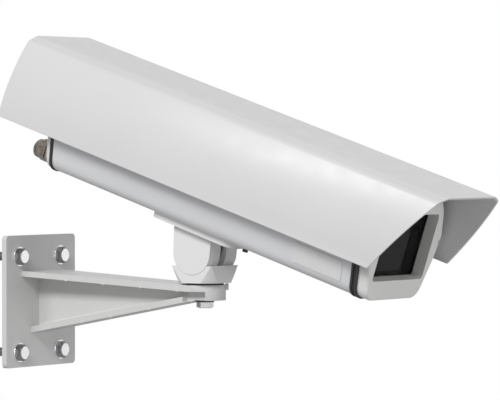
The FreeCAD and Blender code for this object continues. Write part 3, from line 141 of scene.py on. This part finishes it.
# %% Powder coat
def powder_coat(name, colour, peel=0.10, roughness=0.42, peel_scale=900.0):
    material, tree, shader = new_material(name)
    place = object_place(tree)
    drift = noise(tree, place, 9.0, 4.0)
    dusted = ramp(tree, drift, [(0.3, tint(colour, 0.965)), (0.7, colour)])
    tree.links.new(dusted, shader.inputs["Base Color"])
    patchy = noise(tree, place, 60.0)
    rough = ramp(tree, patchy, [(0.3, roughness - 0.04), (0.7, roughness + 0.05)])
    tree.links.new(rough, shader.inputs["Roughness"])
    skin = noise(tree, place, peel_scale, 2.0)
    tree.links.new(bump(tree, skin, peel, 0.0004), shader.inputs["Normal"])
    shader.inputs["Specular IOR Level"].default_value = 0.45
    return material


shield_paint = powder_coat("shield_paint", (0.70, 0.697, 0.708), peel=0.03, roughness=0.32)
body_paint = powder_coat("body_paint", (0.77, 0.775, 0.79), peel=0.06)
cover_paint = powder_coat("cover_paint", (0.80, 0.80, 0.785), peel=0.10, roughness=0.45)
head_paint = powder_coat("head_paint", (0.80, 0.80, 0.80), peel=0.12, roughness=0.44, peel_scale=800.0)
casting_paint = powder_coat("casting_paint", (0.67, 0.672, 0.665), peel=0.16, roughness=0.46,
                            peel_scale=700.0)
print("powder coats:", [m.name for m in bpy.data.materials])

# %% [markdown]
# ## Plated steel and nickel
# The screws are steel with a bright zinc plate, and the cable glands are brass under nickel. Both are
# metals, so their colour is the colour of the reflection. Plating is never quite even: a slow cloud
# in the roughness breaks the mirror up, and fine turning marks show as bump.


# %% Plated metals
def plated(name, colour, roughness=0.22, marks=1400.0, strength=0.08, cloudy=0.14):
    material, tree, shader = new_material(name)
    shader.inputs["Metallic"].default_value = 1.0
    place = object_place(tree)
    cloud = noise(tree, place, 220.0, 4.0)
    clouded = ramp(tree, cloud, [(0.3, tint(colour, 1 - cloudy)), (0.7, colour)])
    tree.links.new(clouded, shader.inputs["Base Color"])
    rough = ramp(tree, cloud, [(0.3, roughness - 0.07), (0.75, roughness + 0.09)])
    tree.links.new(rough, shader.inputs["Roughness"])
    fine = noise(tree, place, marks, 2.0)
    tree.links.new(bump(tree, fine, strength, 0.0002), shader.inputs["Normal"])
    return material


zinc = plated("bright_zinc", (0.93, 0.93, 0.94))
# Two darker copies of the zinc for the bolt flanks are painted shade on the sides of the heads away from the
# light. The pivot bolt gets a satin finish with a milder painted shade, and the wall bolts get a dark copy.
satin_shaded_zinc = plated("satin_shaded_zinc", (0.66, 0.66, 0.67), roughness=0.30)
shaded_flank_zinc = plated("zinc_flank_painted_shade", (0.27, 0.27, 0.28), roughness=0.34)
# The nickel's dark brown grey and its strong dark clouding are painted reflection. They stand in for dark
# surroundings that bright nickel would mirror.
nickel = plated("nickel_with_painted_reflection", (0.27, 0.235, 0.20), roughness=0.25, cloudy=0.6)
black_steel = plated("black_oxide", (0.05, 0.05, 0.052), roughness=0.38)

# %% [markdown]
# ## Rubber, black sheet and plastics
# The gaskets are black rubber with a dull bloom. The camera sled and the glass frame are black
# painted sheet, a little shinier than rubber. One recipe makes them all, because they differ only in
# colour, roughness and grain.


# %% Dull black and moulded finishes
def moulded(name, colour, roughness, grain=1200.0, strength=0.15, drift=0.2):
    material, tree, shader = new_material(name)
    place = object_place(tree)
    slow = noise(tree, place, 35.0, 3.0)
    faded = ramp(tree, slow, [(0.3, tint(colour, 1 - drift)), (0.7, tint(colour, 1 + drift))])
    tree.links.new(faded, shader.inputs["Base Color"])
    fine = noise(tree, place, grain, 3.0)
    uneven = ramp(tree, fine, [(0.3, roughness - 0.06), (0.7, roughness + 0.06)])
    tree.links.new(uneven, shader.inputs["Roughness"])
    tree.links.new(bump(tree, fine, strength, 0.0003), shader.inputs["Normal"])
    return material


gasket_rubber = moulded("gasket_rubber", (0.020, 0.020, 0.021), 0.62)
black_nylon = moulded("black_nylon", (0.018, 0.018, 0.019), 0.45)
black_sheet = moulded("black_sheet", (0.022, 0.022, 0.023), 0.5, grain=700.0)
grey_moulding = moulded("grey_moulding", (0.22, 0.225, 0.23), 0.5)
label_film = moulded("label_film", (0.76, 0.76, 0.77), 0.34, grain=500.0, strength=0.04, drift=0.02)
red_board = moulded("red_solder_mask", (0.62, 0.022, 0.018), 0.3, grain=400.0, strength=0.05)
green_board = moulded("green_solder_mask", (0.012, 0.09, 0.035), 0.3, grain=400.0, strength=0.05)

# %% [markdown]
# ## Window glass
# The window is a flat 4 mm pane. A Principled shader with full transmission bends the light twice, and that is all
# a clean pane needs. The inside of the housing looks nearly black, with no white glare on the pane. So this glass
# gets three things: a dark grey tint, which is painted shade for the unlit inside; a low specular level; and an
# index under that of bare glass, which stands for the coat against glare.


# %% Glass
def glass_with_painted_shade(name):
    material, tree, shader = new_material(name)
    # The dark grey tint is painted shade, standing in for the unlit inside of the housing.
    shader.inputs["Base Color"].default_value = (0.09, 0.095, 0.092, 1)
    shader.inputs["Specular IOR Level"].default_value = 0.02
    shader.inputs["Transmission Weight"].default_value = 1.0
    shader.inputs["IOR"].default_value = 1.25
    smear = noise(tree, object_place(tree, (1, 3, 1)), 40.0, 3.0)
    tree.links.new(ramp(tree, smear, [(0.4, 0.01), (0.8, 0.05)]), shader.inputs["Roughness"])
    return material


window_pane = glass_with_painted_shade("window_pane")

# %% [markdown]
# ## Dress the frame's own parts
# Each part of the frame keeps its mesh. It gets its finish, and a Weld and a narrow Bevel modifier:
# real edges are never sharp, and a rounded edge of a few tenths of a millimetre catches the thin
# bright line that tells the eye that this is metal. The bevel is told to round only true corners,
# over 30 degrees, so the facets of a curve stay smooth. The bare plaque is a film too thin for it.

# %% Finishes for the parts of the frame
FINISH = {
    shield_paint: ["sunshield"],
    body_paint: ["housing_body"],
    cover_paint: ["front_cover", "rear_cover"],
    casting_paint: ["wall_bracket"],
    head_paint: ["pan_saddle", "tilt_knuckle", "adapter_plate"],
    zinc: ["wall_washers", "clamp_nut", "knuckle_screws", "front_cover_screws",
           "rear_cover_screws", "frame_screws", "shield_bolts", "shield_nuts", "sled_screws",
           "heater_screws", "power_screws"],
    nickel: ["near_gland_body", "near_gland_nut", "far_gland_body", "far_gland_nut", "gland_locknuts",
             "heater_posts", "power_posts"],
    black_steel: ["rail_lock_screws"],
    gasket_rubber: ["front_gasket", "rear_gasket", "window_seal", "near_gland_seal", "far_gland_seal"],
    black_nylon: ["pan_washer", "pivot_washer", "shield_spacers"],
    black_sheet: ["camera_sled", "glass_frame"],
    window_pane: ["window_glass"],
    red_board: ["heater_board"],
    green_board: ["power_board"],
    grey_moulding: ["terminal_block"],
    label_film: ["blank_label"],
}
EDGE_ROUND = {
    "sunshield": 0.5, "housing_body": 0.4, "front_cover": 0.4, "rear_cover": 0.4, "wall_bracket": 0.6,
    "pan_saddle": 0.5, "tilt_knuckle": 0.5, "adapter_plate": 0.7, "front_gasket": 0.4, "rear_gasket": 0.3,
    "window_glass": 0.3,
}
PLAIN_EDGE = 0.2
TOO_THIN = ["blank_label"]
WELD_REACH = 0.01 * MM
TRUE_CORNER = math.radians(30)


def round_edges(part, width_mm):
    weld = part.modifiers.new("weld", "WELD")
    weld.merge_threshold = WELD_REACH
    edge = part.modifiers.new("edge_round", "BEVEL")
    edge.width = width_mm * MM
    edge.segments = 2
    edge.limit_method = "ANGLE"
    edge.angle_limit = TRUE_CORNER
    edge.use_clamp_overlap = True
    edge.harden_normals = False


for finish, names in FINISH.items():
    for name in names:
        part = nodes[name]
        part.data.materials.clear()
        part.data.materials.append(finish)
        if name not in TOO_THIN:
            round_edges(part, EDGE_ROUND.get(name, PLAIN_EDGE))
undressed = sorted(set(nodes) - {name for names in FINISH.values() for name in names})
print("parts still to model:", undressed)

# %% [markdown]
# ## Hexagon bolts
# A forged hexagon head is turned on top: the corners are cut back in a cone, which leaves a bright round face,
# while the flanks keep a duller plate. The flanks are also given a darker copy of the zinc, which is painted shade
# for the sides that face away from the light. The shank is cut with a 60 degree thread, and where a wall bolt goes
# through its washer and the plate, the shank is reduced to the thread's mean. The head is a six-sided prism with a
# turned disc on it, and the thread is one tooth swept up a helix by the spin operator, which is how the die cuts
# it. The four wall bolts and the pivot bolt are the same size.


# %% Hexagon bolts
HEX_FLATS = 13 * MM
HEX_HEIGHT = 5.3 * MM
CHAMFER_HEIGHT = 0.7 * MM
CHAMFER_WIDTH = 0.75 * MM
THREAD_PITCH = 1.25 * MM
THREAD_DEPTH = 0.6 * MM
STEPS_A_TURN = 20
TOOTH_FOOT = 0.1
TOOTH_CREST = 0.5
TOOTH_END = 0.9


def disc_stack(mesh, segments, low_radius, high_radius, low, high, turn=0.0):
    """A closed cylinder or cone frustum along Z, between two levels."""
    turned = Matrix.Translation((0, 0, (low + high) / 2)) @ Matrix.Rotation(turn, 4, "Z")
    return bmesh.ops.create_cone(mesh, cap_ends=True, segments=segments, radius1=low_radius,
                                 radius2=high_radius, depth=high - low, matrix=turned)["verts"]


def add_thread(mesh, radius, low, high):
    """One tooth, swept round and along the shank."""
    turns = int((high - low) / THREAD_PITCH) - 1
    base = Vector((radius - THREAD_DEPTH, 0, low + THREAD_PITCH * TOOTH_FOOT))
    crest = Vector((radius, 0, low + THREAD_PITCH * TOOTH_CREST))
    top = Vector((radius - THREAD_DEPTH, 0, low + THREAD_PITCH * TOOTH_END))
    tooth = [mesh.verts.new(point) for point in (base, crest, top)]
    edges = [mesh.edges.new(pair) for pair in zip(tooth, tooth[1:])]
    bmesh.ops.spin(mesh, geom=tooth + edges, cent=(0, 0, 0), axis=(0, 0, 1), angle=math.tau * turns,
                   steps=STEPS_A_TURN * turns, dvec=(0, 0, THREAD_PITCH / STEPS_A_TURN))


def hexagon_bolt(mesh, plain_radius, shank_length, thread_length):
    """A bolt along Z with its head's seat at the origin and its shank going down."""
    corner = HEX_FLATS / 2 / math.cos(math.pi / 6)
    shoulder = HEX_HEIGHT - CHAMFER_HEIGHT
    inner = HEX_FLATS / 2
    disc_stack(mesh, 6, corner, corner, 0, shoulder, math.pi / 6)
    disc_stack(mesh, 36, inner, inner - CHAMFER_WIDTH, shoulder, HEX_HEIGHT)
    plain = shank_length - thread_length
    disc_stack(mesh, 28, plain_radius, plain_radius, -plain, 0)
    core = THREAD_RADIUS - THREAD_DEPTH
    disc_stack(mesh, 28, core, core, -shank_length, -plain)
    add_thread(mesh, THREAD_RADIUS, -shank_length, -plain)


def finish_piece(name, mesh, materials, pick=None):
    """Turn a bmesh into an object; pick gives the number of the material for a face."""
    bmesh.ops.recalc_face_normals(mesh, faces=mesh.faces)
    data = bpy.data.meshes.new(name)
    for material in materials:
        data.materials.append(material)
    for face in mesh.faces:
        face.material_index = pick(face) if pick else 0
    mesh.to_mesh(data)
    mesh.free()
    made = bpy.data.objects.new(name, data)
    bpy.context.scene.collection.objects.link(made)
    return made


NEARLY = 0.95


def bolt_piece(name, body, flanks, places, turn, plain_radius, shank_length, thread_length):
    """Bolts of one kind in one piece; the turned face is bright, and the rest has the flanks' darker finish, which
    is painted shade.
    """
    outward = turn @ Vector((0, 0, 1))
    whole = bmesh.new()
    for centre in places:
        part = bmesh.new()
        hexagon_bolt(part, plain_radius, shank_length, thread_length)
        bmesh.ops.transform(part, matrix=Matrix.Translation(centre) @ turn, verts=part.verts)
        single = bpy.data.meshes.new("single")
        part.to_mesh(single)
        part.free()
        whole.from_mesh(single)
        bpy.data.meshes.remove(single)
    least = min(outward.dot(centre) for centre in places) + HEX_HEIGHT * NEARLY

    def shade(face):
        turned_face = face.normal.dot(outward) > NEARLY and face.calc_center_median().dot(outward) > least
        return 0 if turned_face else 1

    whole.normal_update()
    made = finish_piece(name, whole, [zinc, flanks], shade)
    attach(made, body)
    return made


mounts = {mount["name"]: mount for mount in frame["record"]["mounts"]}
pattern = mounts["wall_bolts"]
THREAD_RADIUS = pattern["dims"]["stud_r_mm"] * MM
WAIST_RADIUS = 3.55 * MM
WALL_THREAD = 17 * MM
half_across = pattern["dims"]["spacing_x_mm"] / 2 * MM
half_up = pattern["dims"]["spacing_y_mm"] / 2 * MM
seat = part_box("wall_bolts")[1][0] - HEX_HEIGHT
middle = Vector(pattern["pos_m"])
corners = [(a * half_across, b * half_up) for a in (1, -1) for b in (1, -1)]
wall_places = [Vector((seat, middle.y + across, middle.z + up)) for across, up in corners]
to_room = Matrix.Rotation(math.pi / 2, 4, "Y")
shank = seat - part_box("wall_bolts")[0][0]
# The wall bolts' flanks take the dark zinc copy, which is painted shade.
wall_bolts = bolt_piece("wall_bolt_set", "root", shaded_flank_zinc, wall_places, to_room,
                        WAIST_RADIUS, shank, WALL_THREAD)
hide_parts("wall_bolts")

pivot_low, pivot_high = [Vector(corner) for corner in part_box("pivot_bolt")]
pivot_seat = Vector((PIVOT["pan"].x, 0, pivot_low.z + HEX_HEIGHT))
HEAD_TURN = math.radians(34)
PIVOT_THREAD_SHARE = 0.45
downward = Matrix.Rotation(HEAD_TURN, 4, "Z") @ Matrix.Rotation(math.pi, 4, "X")
pivot_shank = pivot_high.z - pivot_seat.z
# The pivot bolt's flanks take the satin zinc copy, which is a milder painted shade.
pivot = bolt_piece("pivot_bolt_threaded", "pan_head", satin_shaded_zinc, [pivot_seat], downward,
                   THREAD_RADIUS, pivot_shank, pivot_shank * PIVOT_THREAD_SHARE)
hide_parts("pivot_bolt")
print("bolt seats:", [[round(number, 4) for number in place] for place in wall_places + [pivot_seat]])

# %% [markdown]
# ## Cast nibs
# A row of small knobs shows under the near edge of both flanges. They are the marks of the pins that
# push a casting out of its die, and they stand a little proud. Each is a short stud with a rounded
# end, sunk half into the flange, so it grows out of the metal like the real one.

# %% Cast nibs
NIB_RADIUS = 1.5 * MM
NIB_SUNK = 0.55
NIB_SQUASH = 0.8
UPPER_NIBS = (52, 91, 130, 168)
LOWER_NIBS = (62, 93, 135)


def flange_edge(reach, ends):
    """The near lower edge of a flange at a distance from the wall, between its two end points."""
    (x0, y0, z0), (x1, y1, z1) = ends
    share = (reach - x0) / (x1 - x0)
    return Vector((reach, y0 + share * (y1 - y0), z0 + share * (z1 - z0))) * MM


# Where the near lower edge of each flange starts at the plate and ends at the boss, in millimetres
UPPER_EDGE = ((5, -29, 22.45), (185, -17.8, 11.95))
LOWER_EDGE = ((5, -15, -28.55), (185, -15, 5.25))
nibs = bmesh.new()
for reaches, ends in ((UPPER_NIBS, UPPER_EDGE), (LOWER_NIBS, LOWER_EDGE)):
    for reach in reaches:
        centre = flange_edge(reach, ends) + Vector((0, NIB_RADIUS * NIB_SUNK, 0))
        squashed = Matrix.Translation(centre) @ Matrix.Diagonal((1, 1, NIB_SQUASH, 1))
        bmesh.ops.create_uvsphere(nibs, u_segments=16, v_segments=10, radius=NIB_RADIUS, matrix=squashed)
nib_row = finish_piece("cast_nibs", nibs, [casting_paint])
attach(nib_row, "root")
print("nibs:", len(UPPER_NIBS) + len(LOWER_NIBS))

# %% [markdown]
# ## Floor, world and lamps
# The photograph was taken in a white studio. The world shows white to the camera and in reflections,
# and a softer grey to everything else, so the white isn't paid for with light on the object. One
# long strip lamp square to the near side, some 32 degrees up, is the key: it draws the shadow of the
# upper flange on the web, the dark band under the sunshield's edge and the bright line along its bend.
# A weak one straight ahead opens the faces that look away from the wall.


# %% Studio
def seen_ray(tree):
    """1 for a ray from the camera, a reflection or the glass, and 0 for the light that objects receive."""
    path = node(tree, "LightPath")
    direct = node(tree, "Math", {0: path.outputs["Is Camera Ray"], 1: path.outputs["Is Glossy Ray"]},
                  operation="MAXIMUM")
    return node(tree, "Math", {0: direct.outputs[0], 1: path.outputs["Is Transmission Ray"]},
                operation="MAXIMUM").outputs[0]


def studio_world(ambient):
    world = bpy.data.worlds.new("studio")
    bpy.context.scene.world = world
    world.use_nodes = True
    tree = world.node_tree
    tree.nodes.clear()
    white = node(tree, "Background", {"Color": (1, 1, 1, 1), "Strength": 1.0})
    grey = node(tree, "Background", {"Color": (1, 1, 1, 1), "Strength": ambient})
    mixed = node(tree, "MixShader", {0: seen_ray(tree), 1: grey.outputs[0], 2: white.outputs[0]})
    output = node(tree, "OutputWorld")
    tree.links.new(mixed.outputs[0], output.inputs["Surface"])


def studio_floor(level, radius):
    mesh = bpy.data.meshes.new("floor")
    disc = bmesh.new()
    bmesh.ops.create_circle(disc, cap_ends=True, segments=96, radius=radius)
    bmesh.ops.translate(disc, verts=disc.verts, vec=Vector((0.2, 0, level)))
    disc.to_mesh(mesh)
    disc.free()
    floor = bpy.data.objects.new("floor", mesh)
    bpy.context.scene.collection.objects.link(floor)
    material, tree, shader = new_material("pale_floor")
    pale = ramp(tree, seen_ray(tree), [(0.0, FLOOR_BOUNCE), (1.0, FLOOR_SEEN)])
    tree.links.new(pale, shader.inputs["Base Color"])
    shader.inputs["Roughness"].default_value = 0.9
    mesh.materials.append(material)
    return floor


def area_lamp(name, place, aim, width, height, power):
    lamp = bpy.data.lights.new(name, "AREA")
    lamp.shape = "RECTANGLE"
    lamp.size = width
    lamp.size_y = height
    lamp.energy = power
    made = bpy.data.objects.new(name, lamp)
    made.location = place
    made.rotation_euler = (Vector(aim) - Vector(place)).to_track_quat("-Z", "Y").to_euler()
    bpy.context.scene.collection.objects.link(made)


AMBIENT = 0.34
FLOOR_BOUNCE = 0.44
FLOOR_SEEN = 0.86
FLOOR_LEVEL = -0.35
FLOOR_RADIUS = 3.0
OBJECT_CENTRE = (0.22, 0, 0.1)
studio_world(AMBIENT)
studio_floor(FLOOR_LEVEL, FLOOR_RADIUS)
area_lamp("key", (0.35, -2.15, 1.45), OBJECT_CENTRE, 2.4, 0.6, 48)
area_lamp("front", (2.6, 0.15, 0.10), OBJECT_CENTRE, 0.8, 0.8, 12)

# %% [markdown]
# ## Camera
# The photograph was taken almost level, from in front and to the side of the arm, with a long lens
# from about three metres. The azimuth, distance and focal length come from the run of the object's
# long edges in the photograph. A small shift frames it as the photograph does.

# %% Camera
AZIMUTH = math.radians(33.99)
ELEVATION = math.radians(0.95)
DISTANCE = 3.089
AIM = Vector((0.2287, 0.0, 0.09555))
FOCAL_PIXELS = 3558.9
IMAGE_WIDTH = 500
SENSOR = 36.0
SHIFT_PIXELS = (3.57, -3.25)

camera_data = bpy.data.cameras.new("camera")
camera_data.sensor_width = SENSOR
camera_data.lens = FOCAL_PIXELS / IMAGE_WIDTH * SENSOR
camera_data.shift_x = SHIFT_PIXELS[0] / IMAGE_WIDTH
camera_data.shift_y = SHIFT_PIXELS[1] / IMAGE_WIDTH
camera = bpy.data.objects.new("camera", camera_data)
back = Vector((math.sin(AZIMUTH) * math.cos(ELEVATION), -math.cos(AZIMUTH) * math.cos(ELEVATION),
               math.sin(ELEVATION)))
camera.location = AIM + back * DISTANCE
camera.rotation_euler = (-back).to_track_quat("-Z", "Y").to_euler()
bpy.context.scene.collection.objects.link(camera)
bpy.context.scene.camera = camera
bpy.context.scene.view_settings.view_transform = "Standard"
print("lens %.1f mm at %.2f m" % (camera_data.lens, DISTANCE))
